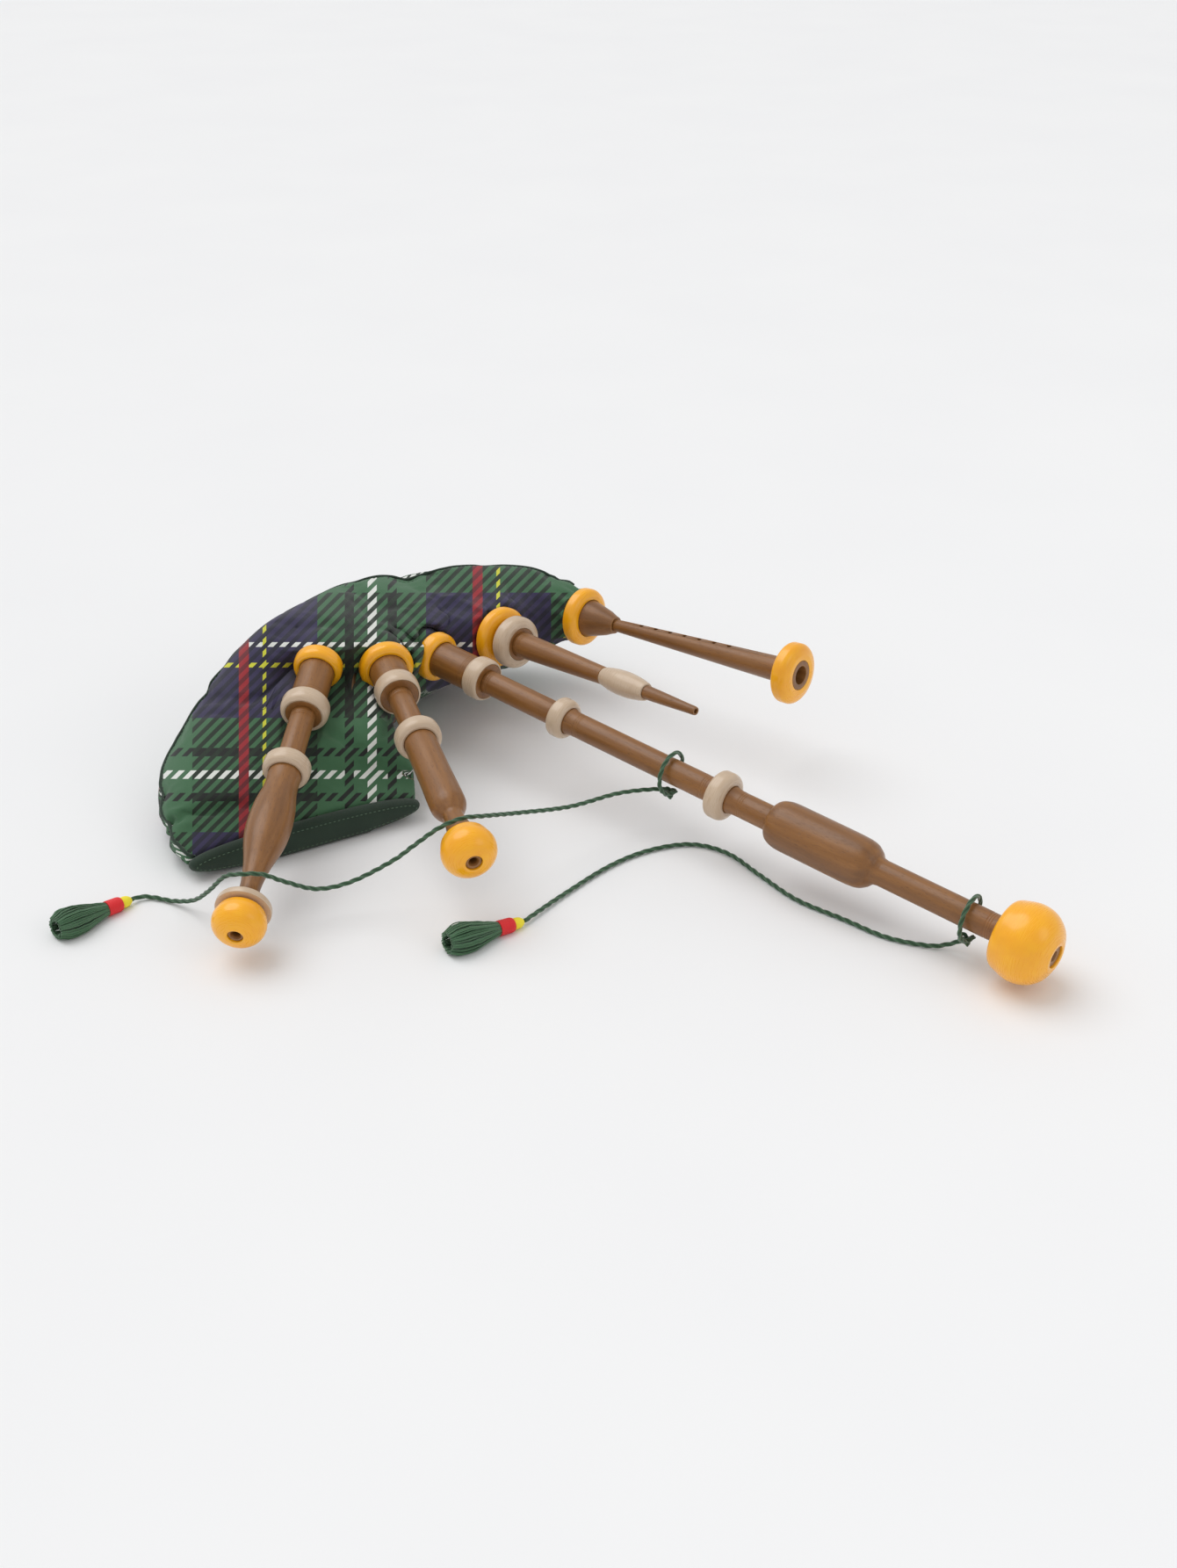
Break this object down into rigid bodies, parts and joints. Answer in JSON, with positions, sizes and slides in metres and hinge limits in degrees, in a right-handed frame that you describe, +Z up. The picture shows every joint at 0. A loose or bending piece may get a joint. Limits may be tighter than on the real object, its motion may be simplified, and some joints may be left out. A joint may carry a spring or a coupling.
{
  "type": "bagpipes",
  "caption": "Bagpipes laid on a table: tartan bag with stocks, bass and tenor drones with tuning slides, blowpipe with valve, chanter, reeds, and drone cords with tassels.",
  "frame": {"origin": "on the table, under the middle of the bag and pipes, without the cords", "axes": "+X to the right towards the bass drone's cap, +Y away over the bag's back, +Z up from the table"},
  "size_m": [0.9779, 0.734, 0.1675],
  "materials": {
    "turned_wood": "turned and oiled hardwood",
    "cream_mount": "polished imitation ivory",
    "gold_mount": "amber gold lacquer",
    "tartan_cloth": "twill-woven tartan",
    "trim_cloth": "dark green binding cloth",
    "bladder_leather": "oiled hide",
    "reed_cane": "dry cane",
    "staple_brass": "drawn tube",
    "green_cord": "twisted silk cord",
    "yellow_yarn": "wrapped yarn",
    "red_yarn": "wrapped yarn",
    "green_yarn": "loose yarn"
  },
  "bodies": {
    "bag": {"bag_bladder": "bladder_leather", "bag_cover": "tartan_cloth", "bag_trim": "trim_cloth", "bass_stock": "turned_wood", "left_tenor_stock": "turned_wood", "right_tenor_stock": "turned_wood", "blowpipe_stock": "turned_wood", "chanter_stock": "turned_wood", "bass_collar": "gold_mount", "left_tenor_collar": "gold_mount", "right_tenor_collar": "gold_mount", "blowpipe_collar": "gold_mount", "chanter_collar": "gold_mount", "bass_stock_mount": "cream_mount", "left_tenor_stock_mount": "cream_mount", "right_tenor_stock_mount": "cream_mount", "blowpipe_stock_mount": "cream_mount", "lower_cord": "green_cord", "upper_cord": "green_cord", "lower_tassel_bead": "yellow_yarn", "lower_tassel_binding": "red_yarn", "lower_tassel_skirt": "green_yarn", "upper_tassel_bead": "yellow_yarn", "upper_tassel_binding": "red_yarn", "upper_tassel_skirt": "green_yarn"},
    "bass_bottom": {"bass_bottom_joint": "turned_wood", "bass_reed": "reed_cane"},
    "bass_middle": {"bass_middle_joint": "turned_wood", "bass_middle_mount": "cream_mount"},
    "bass_top": {"bass_top_joint": "turned_wood", "bass_top_mount": "cream_mount", "bass_cap": "gold_mount", "bass_cap_bush": "turned_wood"},
    "bass_tongue": {"bass_reed_tongue": "reed_cane"},
    "left_tenor_bottom": {"left_tenor_bottom_joint": "turned_wood", "left_tenor_reed": "reed_cane"},
    "left_tenor_top": {"left_tenor_top_joint": "turned_wood", "left_tenor_mount": "cream_mount", "left_tenor_cap": "gold_mount", "left_tenor_cap_bush": "turned_wood", "left_tenor_cap_washer": "cream_mount"},
    "left_tenor_tongue": {"left_tenor_reed_tongue": "reed_cane"},
    "right_tenor_bottom": {"right_tenor_bottom_joint": "turned_wood", "right_tenor_reed": "reed_cane"},
    "right_tenor_top": {"right_tenor_top_joint": "turned_wood", "right_tenor_mount": "cream_mount", "right_tenor_cap": "gold_mount", "right_tenor_cap_bush": "turned_wood"},
    "right_tenor_tongue": {"right_tenor_reed_tongue": "reed_cane"},
    "blowpipe": {"blowpipe_tube": "turned_wood", "blowpipe_bulb": "cream_mount"},
    "mouthpiece": {"mouthpiece": "turned_wood"},
    "valve": {"valve_flap": "bladder_leather"},
    "chanter": {"chanter_body": "turned_wood", "chanter_sole": "gold_mount", "chanter_reed_staple": "staple_brass", "chanter_reed_blades": "reed_cane"}
  },
  "joints": [
    {"name": "bass_stock_pull", "type": "slide", "parent": "bag", "child": "bass_bottom", "axis": [0.7621, -0.6433, -0.0727], "range_m": [0, 0.03]},
    {"name": "bass_middle_tuning", "type": "slide", "parent": "bass_bottom", "child": "bass_middle", "axis": [0.7621, -0.6433, -0.0727], "range_m": [0, 0.025]},
    {"name": "bass_top_tuning", "type": "slide", "parent": "bass_middle", "child": "bass_top", "axis": [0.7621, -0.6433, -0.0727], "range_m": [0, 0.025]},
    {"name": "left_tenor_stock_pull", "type": "slide", "parent": "bag", "child": "left_tenor_bottom", "axis": [-0.0926, -0.9702, -0.2238], "range_m": [0, 0.03]},
    {"name": "left_tenor_tuning", "type": "slide", "parent": "left_tenor_bottom", "child": "left_tenor_top", "axis": [-0.0926, -0.9702, -0.2238], "range_m": [0, 0.025]},
    {"name": "right_tenor_stock_pull", "type": "slide", "parent": "bag", "child": "right_tenor_bottom", "axis": [0.3139, -0.943, -0.1103], "range_m": [0, 0.03]},
    {"name": "right_tenor_tuning", "type": "slide", "parent": "right_tenor_bottom", "child": "right_tenor_top", "axis": [0.3139, -0.943, -0.1103], "range_m": [0, 0.025]},
    {"name": "blowpipe_pull", "type": "slide", "parent": "bag", "child": "blowpipe", "axis": [0.6907, -0.7203, 0.0645], "range_m": [0, 0.025]},
    {"name": "mouthpiece_pull", "type": "slide", "parent": "blowpipe", "child": "mouthpiece", "axis": [0.6907, -0.7203, 0.0645], "range_m": [0, 0.02]},
    {"name": "chanter_pull", "type": "slide", "parent": "bag", "child": "chanter", "axis": [0.7727, -0.6315, 0.0649], "range_m": [0, 0.022]},
    {"name": "bass_reed_beat", "type": "hinge", "parent": "bass_bottom", "child": "bass_tongue", "pos_m": [-0.13781, 0.14075, 0.10345], "axis": [0.6451, 0.7641, 0], "range_deg": [0, 1.5], "stiffness_Nm_per_rad": 0.004},
    {"name": "left_tenor_reed_beat", "type": "hinge", "parent": "left_tenor_bottom", "child": "left_tenor_tongue", "pos_m": [-0.29584, 0.0424, 0.12565], "axis": [0.9955, -0.095, 0], "range_deg": [0, 1.5], "stiffness_Nm_per_rad": 0.004},
    {"name": "right_tenor_reed_beat", "type": "hinge", "parent": "right_tenor_bottom", "child": "right_tenor_tongue", "pos_m": [-0.21243, 0.08276, 0.12217], "axis": [0.9488, 0.3158, 0], "range_deg": [0, 1.5], "stiffness_Nm_per_rad": 0.004},
    {"name": "valve_swing", "type": "hinge", "parent": "blowpipe", "child": "valve", "pos_m": [-0.09597, 0.21471, 0.11385], "axis": [0.7218, 0.6921, 0], "range_deg": [0, 45], "stiffness_Nm_per_rad": 0.0005}
  ]
}
